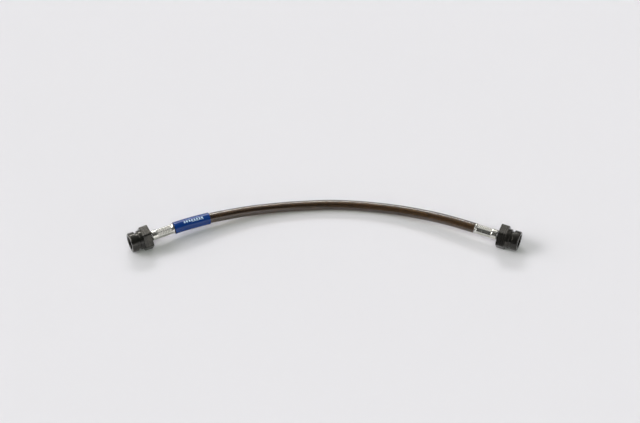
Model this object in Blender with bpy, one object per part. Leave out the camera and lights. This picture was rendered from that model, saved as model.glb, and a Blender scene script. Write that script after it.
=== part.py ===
"""Braided hydraulic clutch hose with a female fitting crimped on each end.

The hose lies on a table in a gentle arc. X runs from the left fitting to the right one,
Y points away from the viewer and Z up. Every length is in metres.
"""
import math

import bmesh
import bpy
import numpy as np
from mathutils import Vector

# Female fitting, turned from hexagon bar. Stations count from its front face inwards.
HEX_ACROSS_FLATS = 0.017
HEX_LENGTH = 0.0066
HEX_CHAMFER = math.radians(30)
HEX_FRONT_R = 0.0090
HEX_BACK_R = 0.0094
FLANGE_R = 0.0076
FLANGE_LENGTH = 0.0050
FLANGE_CHAMFER = 0.0006
CLIP_GROOVE_R = 0.0063
CLIP_GROOVE_WIDTH = 0.0020
STEP_R = 0.0074
STEP_LENGTH = 0.0026
EDGE_BREAK = 0.0003
NECK_R = 0.0044
NECK_LENGTH = 0.0010

# Port for an M10 x 1 male thread, drilled and tapped from the front.
PORT_THREAD_R = 0.0050
PORT_THREAD_DEPTH = 0.00055
PORT_DEPTH = 0.0115
PORT_COUNTERSINK = 0.0004
DRILL_POINT = math.radians(59)
PASSAGE_R = 0.0008

# Barbed tail that holds the liner.
TAIL_R = 0.00115
BARB_R = 0.0014
BARB_PITCH = 0.0030
BARB_COUNT = 4
TAIL_TIP_R = 0.00105
TAIL_SHORT_OF_MOUTH = 0.0020

# Crimped ferrule.
FERRULE_R = 0.0039
FERRULE_BORE_R = 0.0033
FERRULE_LENGTH = 0.0180
FERRULE_WEB = 0.0009
FERRULE_PLAIN = 0.0040
FERRULE_EDGE = 0.0004
CRIMP_JAWS = 8
CRIMP_FLAT_R = 0.00355
CRIMP_LAND_R = 0.0038
CRIMP_RAMP = 0.0003
FERRULE_MOUTH_R = 0.0041
FERRULE_MOUTH_RING = 0.0012

# Hose layers, from the inside out. The length of hose between the ferrule mouths is taken
# along its line as seen from above.
HOSE_LENGTH = 0.23933
LINER_BORE_R = 0.0016
LINER_R = 0.0023
BRAID_WALL = 0.0005
JACKET_R = 0.0040
LAYER_GAP = 0.0002
SLEEVE_WALL = 0.00045
SLEEVE_LENGTH = 0.0288

# Clearances between separate pieces.
SEAT_GAP = 0.0003
TAIL_GAP = 0.00035
CUT_MARGIN = 0.0001

# How finely round things are cut. A hose layer has 4 + 2 * HOSE_ROUNDING sides.
TURNED_STEPS = 48
HOSE_ROUNDING = 4
HOSE_STEP = 0.008

# Derived sizes.
PORT_DRILL_R = PORT_THREAD_R - PORT_THREAD_DEPTH
PORT_COUNTERSINK_R = PORT_THREAD_R + PORT_COUNTERSINK
BRAID_BORE_R = LINER_R + LAYER_GAP
BRAID_R = BRAID_BORE_R + BRAID_WALL
JACKET_BORE_R = BRAID_R + LAYER_GAP
SLEEVE_BORE_R = JACKET_R + LAYER_GAP
SLEEVE_R = SLEEVE_BORE_R + SLEEVE_WALL
GROOVE_START = FLANGE_LENGTH
STEP_START = GROOVE_START + CLIP_GROOVE_WIDTH
HEX_START = STEP_START + STEP_LENGTH
HEX_END = HEX_START + HEX_LENGTH
NECK_END = HEX_END + NECK_LENGTH
FERRULE_START = NECK_END + SEAT_GAP
FERRULE_END = FERRULE_START + FERRULE_LENGTH
CRIMP_START = FERRULE_START + FERRULE_PLAIN
CRIMP_END = FERRULE_END - FERRULE_MOUTH_RING
LINER_START = FERRULE_START + FERRULE_WEB + SEAT_GAP
JACKET_START = FERRULE_END + SEAT_GAP
TAIL_END = FERRULE_END - TAIL_SHORT_OF_MOUTH
HEX_CORNER_R = HEX_ACROSS_FLATS / 2 / math.cos(math.radians(30))
HEX_BLANK_R = HEX_CORNER_R + CUT_MARGIN
HOSE_SIDES = 4 + 2 * HOSE_ROUNDING

# Hand-laid line of the hose, seen from above in millimetres, from one ferrule mouth to the
# other. The third number is how far it is lifted: 0 lies on the table, 1 is at the height of
# a fitting that rests on its hexagon.
ROUTE = [
    (-115.47, 8.95, 1.000),
    (-101.27, 15.15, 0.933),
    (-87.37, 20.55, 0.778),
    (-73.47, 25.15, 0.567),
    (-58.97, 29.40, 0.344),
    (-44.07, 32.60, 0.160),
    (-29.07, 35.05, 0.033),
    (-13.97, 36.45, 0.000),
    (1.03, 37.25, 0.000),
    (16.03, 36.95, 0.000),
    (31.03, 35.65, 0.022),
    (45.93, 33.15, 0.133),
    (60.73, 29.75, 0.311),
    (75.43, 25.25, 0.522),
    (89.76, 20.15, 0.744),
    (102.86, 14.63, 0.922),
    (115.13, 9.25, 1.000),
]
LEFT_HEADING = math.radians(25.0)
RIGHT_HEADING = math.radians(157.4)


def clear_scene():
    """Start from an empty scene."""
    for ob in list(bpy.data.objects):
        bpy.data.objects.remove(ob, do_unlink=True)


def finish(name, colour, roughness, metallic):
    """A plain Principled material."""
    mat = bpy.data.materials.new(name)
    mat.use_nodes = True
    bsdf = mat.node_tree.nodes["Principled BSDF"]
    bsdf.inputs["Base Color"].default_value = (*colour, 1.0)
    bsdf.inputs["Roughness"].default_value = roughness
    bsdf.inputs["Metallic"].default_value = metallic
    return mat


def make_object(name, bm, material, parent):
    """Turn a bmesh into a shaded object under a parent."""
    bmesh.ops.recalc_face_normals(bm, faces=bm.faces)
    mesh = bpy.data.meshes.new(name)
    bm.to_mesh(mesh)
    bm.free()
    mesh.materials.append(material)
    mesh.shade_smooth()
    mesh.set_sharp_from_angle(angle=math.radians(32))
    ob = bpy.data.objects.new(name, mesh)
    bpy.context.collection.objects.link(ob)
    ob.parent = parent
    return ob


def turned(name, outline, material, parent):
    """A turned piece: a closed outline of (station, radius) spun about its own X axis."""
    bm = bmesh.new()
    verts = [bm.verts.new((x, 0.0, r)) for x, r in outline]
    edges = [
        bm.edges.new((verts[i], verts[(i + 1) % len(verts)])) for i in range(len(verts))
    ]
    bmesh.ops.spin(
        bm,
        geom=verts + edges,
        axis=(1, 0, 0),
        cent=(0, 0, 0),
        angle=2 * math.pi,
        steps=TURNED_STEPS,
        use_merge=True,
    )
    return make_object(name, bm, material, parent)


def cut(target, tool, operation):
    """Cut a piece with a hidden solid that the render doesn't show."""
    tool.hide_render = True
    tool.display_type = "WIRE"
    boolean = target.modifiers.new(tool.name, "BOOLEAN")
    boolean.operation = operation
    boolean.solver = "EXACT"
    boolean.object = tool


def prism(name, corners, flat_r, first_flat, start, end, hollow_from, parent):
    """A bar with flats around X, or a thick pipe with flats in its bore if hollow_from is set."""
    radii = [flat_r / math.cos(math.pi / corners)]
    if hollow_from:
        radii.append(hollow_from)
    bm = bmesh.new()
    rings = []
    for radius in radii:
        for x in (start, end):
            ring = []
            for i in range(corners):
                a = first_flat + math.pi * (2 * i + 1) / corners
                ring.append(bm.verts.new((x, radius * math.cos(a), radius * math.sin(a))))
            rings.append(ring)
    if hollow_from:
        joined = [(0, 1), (2, 3), (0, 2), (1, 3)]
    else:
        joined = [(0, 1)]
        bm.faces.new(rings[0])
        bm.faces.new(rings[1])
    for one, other in joined:
        for i in range(corners):
            j = (i + 1) % corners
            bm.faces.new((rings[one][i], rings[one][j], rings[other][j], rings[other][i]))
    return make_object(name, bm, finish(name, (0.3, 0.3, 0.3), 0.5, 0.0), parent)


def fitting_outline():
    """Half section of the fitting, front face to tail tip and back through the port."""
    front_run = (HEX_BLANK_R - HEX_FRONT_R) * math.tan(HEX_CHAMFER)
    back_run = (HEX_BLANK_R - HEX_BACK_R) * math.tan(HEX_CHAMFER)
    points = [
        (0.0, PORT_COUNTERSINK_R),
        (0.0, FLANGE_R - FLANGE_CHAMFER),
        (FLANGE_CHAMFER, FLANGE_R),
        (FLANGE_LENGTH - EDGE_BREAK, FLANGE_R),
        (FLANGE_LENGTH, FLANGE_R - EDGE_BREAK),
        (GROOVE_START, CLIP_GROOVE_R),
        (STEP_START, CLIP_GROOVE_R),
        (STEP_START, STEP_R - EDGE_BREAK),
        (STEP_START + EDGE_BREAK, STEP_R),
        (HEX_START, STEP_R),
        (HEX_START, HEX_FRONT_R),
        (HEX_START + front_run, HEX_BLANK_R),
        (HEX_END - back_run, HEX_BLANK_R),
        (HEX_END, HEX_BACK_R),
        (HEX_END, NECK_R),
        (NECK_END, NECK_R),
        (NECK_END, TAIL_R),
    ]
    first_barb = TAIL_END - BARB_COUNT * BARB_PITCH
    for i in range(BARB_COUNT):
        heel = first_barb + i * BARB_PITCH
        toe_r = TAIL_TIP_R if i == BARB_COUNT - 1 else TAIL_R
        points += [(heel, TAIL_R), (heel + EDGE_BREAK, BARB_R), (heel + BARB_PITCH, toe_r)]
    point_end = PORT_DEPTH + (PORT_DRILL_R - PASSAGE_R) / math.tan(DRILL_POINT)
    points += [
        (TAIL_END, PASSAGE_R),
        (point_end, PASSAGE_R),
        (PORT_DEPTH, PORT_DRILL_R),
        (PORT_COUNTERSINK_R - PORT_DRILL_R, PORT_DRILL_R),
    ]
    return without_repeats(points)


def without_repeats(points):
    """Drop a point that lies on the one before it."""
    kept = []
    for p in points:
        if not kept or math.dist(p, kept[-1]) > 1e-6:
            kept.append(p)
    return kept


def ferrule_outline():
    """Half section of the ferrule: web end, plain band, land for the crimp and mouth ring."""
    start = FERRULE_START
    return [
        (start, TAIL_R + TAIL_GAP),
        (start, FERRULE_R - FERRULE_EDGE),
        (start + FERRULE_EDGE, FERRULE_R),
        (CRIMP_START, FERRULE_R),
        (CRIMP_START + CRIMP_RAMP, CRIMP_LAND_R),
        (CRIMP_END - CRIMP_RAMP, CRIMP_LAND_R),
        (CRIMP_END, FERRULE_MOUTH_R),
        (FERRULE_END - EDGE_BREAK, FERRULE_MOUTH_R),
        (FERRULE_END, FERRULE_MOUTH_R - EDGE_BREAK),
        (FERRULE_END, FERRULE_BORE_R + EDGE_BREAK),
        (FERRULE_END - EDGE_BREAK, FERRULE_BORE_R),
        (start + FERRULE_WEB, FERRULE_BORE_R),
        (start + FERRULE_WEB, TAIL_R + TAIL_GAP),
    ]


def end_frame(name, mouth, heading):
    """An empty at the front face of a fitting, its X pointing along the fitting to the hose."""
    empty = bpy.data.objects.new(name, None)
    bpy.context.collection.objects.link(empty)
    along = Vector((math.cos(heading), math.sin(heading), 0.0))
    empty.location = mouth - along * JACKET_START
    empty.rotation_euler = (0.0, 0.0, heading)
    return empty, along


def crimped_end(side, mouth, heading, steel, zinc):
    """The fitting and ferrule of one end."""
    empty, along = end_frame("end_" + side, mouth, heading)
    fitting = turned("fitting_" + side, fitting_outline(), zinc, empty)
    stock = prism(
        "bar_stock_" + side,
        corners=6,
        flat_r=HEX_ACROSS_FLATS / 2,
        first_flat=math.pi / 2,
        start=-NECK_LENGTH,
        end=TAIL_END + NECK_LENGTH,
        hollow_from=None,
        parent=empty,
    )
    cut(fitting, stock, "INTERSECT")
    ferrule = turned("ferrule_" + side, ferrule_outline(), steel, empty)
    jaws = prism(
        "crimp_jaws_" + side,
        corners=CRIMP_JAWS,
        flat_r=CRIMP_FLAT_R,
        first_flat=math.pi / 2,
        start=CRIMP_START + CRIMP_RAMP,
        end=CRIMP_END - CRIMP_RAMP,
        hollow_from=FERRULE_MOUTH_R + NECK_LENGTH,
        parent=empty,
    )
    cut(ferrule, jaws, "DIFFERENCE")
    return empty.location, along


def smooth_line(knots, first_heading, last_heading, step):
    """Points at even steps on a smooth line through the knots with set end headings."""
    knots = np.array(knots)
    gaps = np.linalg.norm(np.diff(knots, axis=0), axis=1)
    at = np.concatenate(([0.0], np.cumsum(gaps)))
    n = len(knots)
    lhs = np.zeros((n, n))
    rhs = np.zeros((n, 3))
    lhs[0, 0] = lhs[-1, -1] = 1.0
    rhs[0] = first_heading
    rhs[-1] = last_heading
    for i in range(1, n - 1):
        before, after = gaps[i - 1], gaps[i]
        lhs[i, i - 1 : i + 2] = after, 2 * (before + after), before
        rhs[i] = 3 * (
            after / before * (knots[i] - knots[i - 1])
            + before / after * (knots[i + 1] - knots[i])
        )
    slopes = np.linalg.solve(lhs, rhs)
    count = max(2, round(at[-1] / step) + 1)
    line = []
    for s in np.linspace(0.0, at[-1], count):
        i = min(int(np.searchsorted(at, s, side="right")) - 1, n - 2)
        u = (s - at[i]) / gaps[i]
        a, b = knots[i], knots[i + 1]
        p, q = slopes[i] * gaps[i], slopes[i + 1] * gaps[i]
        line.append(
            (2 * u**3 - 3 * u**2 + 1) * a
            + (u**3 - 2 * u**2 + u) * p
            + (3 * u**2 - 2 * u**3) * b
            + (u**3 - u**2) * q
        )
    return [Vector((x, y, max(z, JACKET_R))) for x, y, z in line]


def laid_route():
    """The route's points in metres, drawn out or in to the hose's length."""
    spans = [math.dist(a[:2], b[:2]) for a, b in zip(ROUTE, ROUTE[1:])]
    drawn = HOSE_LENGTH / sum(spans)
    rise = HEX_ACROSS_FLATS / 2 - JACKET_R
    return [Vector((x * drawn, y * drawn, JACKET_R + lift * rise)) for x, y, lift in ROUTE]


def cut_line(line, wanted):
    """The first part of a line, up to a length."""
    kept = [line[0]]
    left = wanted
    for a, b in zip(line, line[1:]):
        piece = (b - a).length
        if piece >= left:
            kept.append(a + (b - a) * (left / piece))
            break
        kept.append(b)
        left -= piece
    return kept


def layer(name, line, outer_r, bore_r, material):
    """A tube laid along a line: a bevelled curve at mid wall, thickened both ways."""
    curve = bpy.data.curves.new(name, "CURVE")
    curve.dimensions = "3D"
    curve.twist_mode = "Z_UP"
    curve.bevel_depth = (outer_r + bore_r) / 2
    curve.bevel_resolution = HOSE_ROUNDING
    curve.use_fill_caps = False
    spline = curve.splines.new("POLY")
    spline.points.add(len(line) - 1)
    for at, point in zip(spline.points, line):
        at.co = (*point, 1.0)
    spline.use_smooth = True
    curve.materials.append(material)
    ob = bpy.data.objects.new(name, curve)
    bpy.context.collection.objects.link(ob)
    wall = ob.modifiers.new("wall", "SOLIDIFY")
    wall.thickness = (outer_r - bore_r) * math.cos(math.pi / HOSE_SIDES)
    wall.offset = 0.0
    wall.use_even_offset = True
    return ob


def build():
    """Both ends, then the layers of the hose between them."""
    clear_scene()
    zinc = finish("black_zinc", (0.030, 0.030, 0.028), 0.42, 0.55)
    steel = finish("ferrule_steel", (0.60, 0.60, 0.55), 0.32, 1.0)
    ptfe = finish("ptfe", (0.80, 0.80, 0.76), 0.45, 0.0)
    wire = finish("braid_wire", (0.55, 0.54, 0.52), 0.35, 1.0)
    smoked = finish("smoked_jacket", (0.055, 0.040, 0.032), 0.25, 0.0)
    blue = finish("blue_sleeve", (0.004, 0.030, 0.190), 0.30, 0.0)

    route = laid_route()
    left_front, left_along = crimped_end("left", route[0], LEFT_HEADING, steel, zinc)
    right_front, right_along = crimped_end("right", route[-1], RIGHT_HEADING, steel, zinc)

    open_run = smooth_line(route, left_along, -right_along, HOSE_STEP)
    left_inner = left_front + left_along * LINER_START
    right_inner = right_front + right_along * LINER_START
    full_run = [left_inner, *open_run, right_inner]

    layer("liner", full_run, LINER_R, LINER_BORE_R, ptfe)
    layer("braid", full_run, BRAID_R, BRAID_BORE_R, wire)
    layer("jacket", open_run, JACKET_R, JACKET_BORE_R, smoked)
    layer("id_sleeve", cut_line(open_run, SLEEVE_LENGTH), SLEEVE_R, SLEEVE_BORE_R, blue)


build()
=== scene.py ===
"""A braided hydraulic clutch hose lying on a pale table, dressed for a close look."""
import math

import bmesh
import bpy
import numpy as np
from bpy.props import FloatProperty, FloatVectorProperty, IntProperty, PointerProperty
from bpy.types import Operator, Panel, PropertyGroup
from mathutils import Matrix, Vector


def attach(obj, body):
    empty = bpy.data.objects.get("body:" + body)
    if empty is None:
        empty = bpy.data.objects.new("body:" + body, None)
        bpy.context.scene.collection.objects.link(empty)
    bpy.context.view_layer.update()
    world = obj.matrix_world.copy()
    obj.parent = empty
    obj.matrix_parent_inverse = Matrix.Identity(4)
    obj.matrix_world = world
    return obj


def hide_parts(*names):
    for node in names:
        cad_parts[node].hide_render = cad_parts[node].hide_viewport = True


bl_info = {
    "name": "Braided clutch hose",
    "version": (1, 0, 0),
    "blender": (4, 5, 0),
    "location": "View3D > Sidebar > Hose",
    "description": "Builds a braided hose with two crimped female fittings",
    "category": "Add Mesh",
}

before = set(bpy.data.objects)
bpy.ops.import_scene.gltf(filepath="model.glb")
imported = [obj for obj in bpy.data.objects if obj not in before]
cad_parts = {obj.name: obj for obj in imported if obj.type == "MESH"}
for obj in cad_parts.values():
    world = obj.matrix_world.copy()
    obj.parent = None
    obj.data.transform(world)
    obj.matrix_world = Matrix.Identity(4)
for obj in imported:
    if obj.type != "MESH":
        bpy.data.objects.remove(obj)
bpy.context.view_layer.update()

# The hose's laid line, from the left ferrule mouth to the right one, in metres.
ROUTE = [
    (-0.11547, 0.00895, 0.00850),
    (-0.10127, 0.01515, 0.00820),
    (-0.08737, 0.02055, 0.00750),
    (-0.07347, 0.02515, 0.00655),
    (-0.05897, 0.02940, 0.00555),
    (-0.04407, 0.03260, 0.00472),
    (-0.02907, 0.03505, 0.00415),
    (-0.01397, 0.03645, 0.00400),
    (0.00103, 0.03725, 0.00400),
    (0.01603, 0.03695, 0.00400),
    (0.03103, 0.03565, 0.00410),
    (0.04593, 0.03315, 0.00460),
    (0.06073, 0.02975, 0.00540),
    (0.07543, 0.02525, 0.00635),
    (0.08976, 0.02015, 0.00735),
    (0.10286, 0.01463, 0.00815),
    (0.11513, 0.00925, 0.00850),
]
LEFT_HEADING = math.radians(25.0)
RIGHT_HEADING = math.radians(157.4)


class HoseSizes(PropertyGroup):
    """Sizes of the hose's layers."""

    jacket_r: FloatProperty(
        name="Jacket radius",
        description="Outer radius of the clear jacket",
        default=0.0040, unit="LENGTH",
    )
    jacket_bore_r: FloatProperty(
        name="Jacket bore radius",
        description="Where the jacket ends inside, under the wires it was moulded over",
        default=0.00242, unit="LENGTH",
    )
    braid_r: FloatProperty(
        name="Braid radius",
        description="Middle radius of the woven wire",
        default=0.00278, unit="LENGTH",
    )
    braid_rise: FloatProperty(
        name="Braid rise",
        description="How far a strand rises over the one it crosses",
        default=0.00010, unit="LENGTH",
    )
    lead: FloatProperty(
        name="Braid lead",
        description="Length of hose in which a strand goes once round",
        default=0.0160, unit="LENGTH",
    )
    strands: IntProperty(
        name="Strands each way",
        description="Strands that run each way round",
        default=6, min=2,
    )
    wires: IntProperty(
        name="Wires in a strand",
        description="Wires lying side by side in one strand",
        default=7, min=1,
    )
    relief: FloatProperty(
        name="Jacket relief",
        description="How far the jacket sinks between the strands under it",
        default=0.00005, unit="LENGTH",
    )
    liner_r: FloatProperty(
        name="Liner radius",
        description="Outer radius of the inner tube",
        default=0.0023, unit="LENGTH",
    )
    liner_bore_r: FloatProperty(
        name="Liner bore radius",
        description="Radius of the fluid passage",
        default=0.0016, unit="LENGTH",
    )
    sleeve_r: FloatProperty(
        name="Sleeve radius",
        description="Outer radius of the shrunk sleeve",
        default=0.00465, unit="LENGTH",
    )
    sleeve_bore_r: FloatProperty(
        name="Sleeve bore radius",
        description="Inner radius of the shrunk sleeve",
        default=0.00407, unit="LENGTH",
    )
    sleeve_length: FloatProperty(
        name="Sleeve length",
        description="Length of the shrunk sleeve along the hose",
        default=0.0288, unit="LENGTH",
    )


class EndSizes(PropertyGroup):
    """Sizes of the fitting and its ferrule."""

    across_flats: FloatProperty(
        name="Across flats",
        description="Hexagon size",
        default=0.017, unit="LENGTH",
    )
    flange_r: FloatProperty(
        name="Flange radius",
        description="Radius of the front barrel",
        default=0.0076, unit="LENGTH",
    )
    groove_r: FloatProperty(
        name="Clip groove radius",
        description="Root radius of the groove for a spring clip",
        default=0.0063, unit="LENGTH",
    )
    step_r: FloatProperty(
        name="Step radius",
        description="Radius of the ring between groove and hexagon",
        default=0.0074, unit="LENGTH",
    )
    thread_r: FloatProperty(
        name="Thread radius",
        description="Root radius of the port's thread",
        default=0.0050, unit="LENGTH",
    )
    drill_r: FloatProperty(
        name="Drill radius",
        description="Crest radius of the port's thread",
        default=0.00445, unit="LENGTH",
    )
    pitch: FloatProperty(
        name="Thread pitch",
        description="Pitch of the port's thread",
        default=0.0010, unit="LENGTH",
    )
    ferrule_r: FloatProperty(
        name="Ferrule radius",
        description="Radius of the ferrule's plain band",
        default=0.0039, unit="LENGTH",
    )
    crimp_flat_r: FloatProperty(
        name="Crimp flat",
        description="Distance of the crimp's flats from the axis",
        default=0.00355, unit="LENGTH",
    )
    crimp_land_r: FloatProperty(
        name="Crimp land",
        description="Radius of the ridges between the crimp's flats",
        default=0.0038, unit="LENGTH",
    )


class Finishes(PropertyGroup):
    """Colours of the object's finishes."""

    smoke: FloatVectorProperty(
        name="Smoked jacket",
        description="Tint of the clear jacket",
        default=(0.121, 0.066, 0.026), subtype="COLOR", min=0.0, max=1.0,
    )
    wire: FloatVectorProperty(
        name="Braid wire",
        description="Bright drawn wire",
        default=(0.66, 0.63, 0.58), subtype="COLOR", min=0.0, max=1.0,
    )
    sleeve: FloatVectorProperty(
        name="Sleeve blue",
        description="Blue of the shrunk sleeve",
        default=(0.001, 0.031, 0.178), subtype="COLOR", min=0.0, max=1.0,
    )
    steel: FloatVectorProperty(
        name="Ferrule steel",
        description="Satin steel of the ferrules",
        default=(0.71, 0.70, 0.64), subtype="COLOR", min=0.0, max=1.0,
    )
    black: FloatVectorProperty(
        name="Black plating",
        description="Black plating of the fittings",
        default=(0.064, 0.060, 0.053), subtype="COLOR", min=0.0, max=1.0,
    )
    table: FloatVectorProperty(
        name="Table",
        description="Colour of the table",
        default=(0.755, 0.729, 0.779), subtype="COLOR", min=0.0, max=1.0,
    )


class StageSetup(PropertyGroup):
    """Where the camera looks and how strong the light is."""

    elevation: FloatProperty(
        name="Elevation",
        description="How far the camera looks down",
        subtype="ANGLE", default=math.radians(48.0),
    )
    distance: FloatProperty(
        name="Distance",
        description="From the camera to the point it looks at",
        default=1.2792, unit="LENGTH",
    )
    aim_x: FloatProperty(
        name="Aim X",
        description="Point on the table that the camera looks at",
        default=-0.00347, unit="LENGTH",
    )
    aim_y: FloatProperty(
        name="Aim Y",
        description="Point on the table that the camera looks at",
        default=0.03393, unit="LENGTH",
    )
    lens: FloatProperty(
        name="Lens",
        description="Focal length on a 36 mm wide sensor",
        default=92.25, unit="CAMERA",
    )
    sky: FloatProperty(
        name="Surroundings",
        description="Brightness of the room behind the object",
        default=0.24,
    )
    front: FloatProperty(
        name="Front",
        description="Brightness of the room on the camera's side",
        default=0.08,
    )
    strip: FloatProperty(
        name="Strip light",
        description="Brightness of the long softbox behind the object",
        default=13.6,
    )
    fill: FloatProperty(
        name="Fill",
        description="Strength of the soft fill from above the camera",
        default=0.93,
    )
    glow: FloatProperty(
        name="Glow",
        description="Brightness of the wall and ceiling above the long softbox",
        default=0.45,
    )
    box: FloatProperty(
        name="Key light",
        description="Brightness of the square softbox on the left",
        default=6.6,
    )


# Stations along a fitting, from its front face inwards.
FLANGE_END = 0.0050
STEP_START = 0.0070
HEX_START = 0.0096
HEX_END = 0.0162
NECK_END = 0.0172
FERRULE_START = 0.0175
CRIMP_START = 0.0215
CRIMP_END = 0.0343
FERRULE_END = 0.0355
JACKET_START = 0.0358
LINER_START = 0.0187
TAIL_END = 0.0335
PORT_DEPTH = 0.0115

# Radii of the ends that the sidebar doesn't set.
HEX_FRONT_R = 0.0090
HEX_BACK_R = 0.0094
NECK_R = 0.0044
TAIL_R = 0.00115
PASSAGE_R = 0.0008
FERRULE_BORE_R = 0.0033
FERRULE_MOUTH_R = 0.0041
FERRULE_EYE_R = TAIL_R + 0.00035

# Small forms of the ferrules: lengths, and how far their jaws' marks reach.
FERRULE_ROLL = math.radians(7)
FERRULE_CHAMFER = 0.0004
FERRULE_WALL = 0.0009
JAWS = 8
JAW_FILLET = 0.0001
JAW_WEAR = 0.00018
CRIMP_FADE = 0.0005
CRIMP_INSET = 0.0002
RIB_RISE = 0.000034
RIB_PITCH = 0.0013

# Small forms of the fittings.
HEX_SIDES = 6
HEX_CHAMFER = math.radians(30)
HEX_FILLET = 0.00025
HEX_WEAR = 0.0003
CHAMFER_WEAR = 0.0002
BLANK_MARGIN = 0.0001
FLANGE_CHAMFER = 0.0006
EDGE_BREAK = 0.0003
COUNTERSINK = 0.0004
DRILL_POINT = math.radians(59)
THREAD_STOP = 0.0012
THREAD_FADE = 0.0008
THREAD_ROWS = 10
# The thread's vee: its height before the root is cut flat, and its flank in pitches.
THREAD_VEE, THREAD_FLANK = 1.15, 0.40
CREST_WEAR = 0.6

# How far liner and braid reach into a ferrule, and how finely the layers are drawn.
HOSE_TUCK = JACKET_START - LINER_START
BRAID_TUCK = 0.003
JACKET_ROWS, JACKET_BORE_ROWS, JACKET_SIDES = 1081, 121, 72
LINER_ROWS, LINER_SIDES = 160, 32
SLEEVE_ROWS, SLEEVE_SIDES = 90, 96
# One row of the jacket in so many is a point of the cord's path.
CORD_EVERY = 12

# The weave: how much of its room a strand fills, how round its wires are, columns across a wire,
# rows from crossing to crossing, and how suddenly a strand goes from over to under.
STRAND_FILL = 0.93
WIRE_BULGE = 0.00006
WIRE_COLUMNS = 4
CROSSING_ROWS = 3
WEAVE_SNAP = 2.2

# The sleeve: its gap from the ferrule, the rows of its lips, its thinned ends and its waves.
SLEEVE_GAP = 0.0001
SLEEVE_LIP = 0.0008
SLEEVE_LIP_ROWS = (0.0, 0.00004, 0.0001, 0.0002, 0.0004)
SLEEVE_THINNING, SLEEVE_THINNING_RUN = 0.00016, 0.00012
SLEEVE_WRINKLE = 0.000012
SLEEVE_WAVE = 0.00002
SLEEVE_RELIEF_SHARE = 0.35
# Two waves that cross make the sleeve's wrinkles and a longer one its waves, in radians a metre.
WRINKLE_FINE, WRINKLE_BROAD, WAVE_LONG = 900, 310, 240

# Millimetres in a metre, for the lay of a piece.
MM = 1000.0
# A length too small to matter, and distances just off and well off a surface.
TINY, JUST_OFF, WELL_OFF = 1e-6, 0.0001, 0.001


def sizes():
    """The hose's sizes as set in the sidebar."""
    return bpy.context.scene.hose_sizes


def ends():
    """The sizes of the ends as set in the sidebar."""
    return bpy.context.scene.hose_ends


def colours():
    """The finishes as set in the sidebar."""
    return bpy.context.scene.hose_finishes


# Shapes


class Line:
    """A smooth line through knots, with straight runs at both ends, read by distance."""

    def __init__(self, knots, first, last, before, after, step=0.0005):
        knots = np.array(knots)
        gaps = np.linalg.norm(np.diff(knots, axis=0), axis=1)
        at = np.concatenate(([0.0], np.cumsum(gaps)))
        n = len(knots)
        first, last = np.array(first), np.array(last)
        lhs = np.zeros((n, n))
        rhs = np.zeros((n, 3))
        lhs[0, 0] = lhs[-1, -1] = 1.0
        rhs[0], rhs[-1] = first, last
        for i in range(1, n - 1):
            back, ahead = gaps[i - 1], gaps[i]
            lhs[i, i - 1 : i + 2] = ahead, 2 * (back + ahead), back
            rhs[i] = 3 * (
                ahead / back * (knots[i] - knots[i - 1])
                + back / ahead * (knots[i + 1] - knots[i])
            )
        slopes = np.linalg.solve(lhs, rhs)
        points = []
        for s in np.linspace(0.0, at[-1], round(at[-1] / step) + 1):
            i = min(int(np.searchsorted(at, s, side="right")) - 1, n - 2)
            u = (s - at[i]) / gaps[i]
            p, q = slopes[i] * gaps[i], slopes[i + 1] * gaps[i]
            points.append(
                (2 * u**3 - 3 * u**2 + 1) * knots[i]
                + (u**3 - 2 * u**2 + u) * p
                + (3 * u**2 - 2 * u**3) * knots[i + 1]
                + (u**3 - u**2) * q
            )
        points = np.array(points)
        points[:, 2] = np.maximum(points[:, 2], knots[:, 2].min())
        lead_in = [knots[0] - first * d for d in np.arange(before, 0.0, -step)]
        lead_out = [knots[-1] + last * d for d in np.arange(step, after + step / 2, step)]
        self.start = before
        self.points = np.array([*lead_in, *points, *lead_out])
        runs = np.linalg.norm(np.diff(self.points, axis=0), axis=1)
        self.at = np.concatenate(([0.0], np.cumsum(runs)))
        along = np.gradient(self.points, axis=0)
        along /= np.linalg.norm(along, axis=1)[:, None]
        aside = np.cross(along, (0.0, 0.0, 1.0))
        aside /= np.linalg.norm(aside, axis=1)[:, None]
        self.aside = aside
        self.rise = np.cross(aside, along)
        self.length = self.at[-1]
        self.free = self.length - before - after

    def read(self, values, s):
        """Values of the line at distances s."""
        return np.stack([np.interp(s, self.at, values[:, k]) for k in range(3)], axis=-1)

    def around(self, s, radius, turn):
        """Points at distance s, radius and turn (in radians) round the line."""
        s, radius, turn = np.broadcast_arrays(s, radius, turn)
        middle = self.read(self.points, s)
        aside = self.read(self.aside, s)
        rise = self.read(self.rise, s)
        out = np.cos(turn)[..., None] * aside + np.sin(turn)[..., None] * rise
        return middle + radius[..., None] * out


def grid_faces(rows, cols, close_rows, close_cols, offset=0):
    """Quads between the points of a grid, and the row and column of each corner."""
    i = np.arange(rows if close_rows else rows - 1)
    j = np.arange(cols if close_cols else cols - 1)
    i, j = (a.ravel() for a in np.meshgrid(i, j, indexing="ij"))
    row = np.stack([i, i, i + 1, i + 1], axis=1)
    col = np.stack([j, j + 1, j + 1, j], axis=1)
    faces = offset + (row % rows) * cols + (col % cols)
    return faces, row, col


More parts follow.
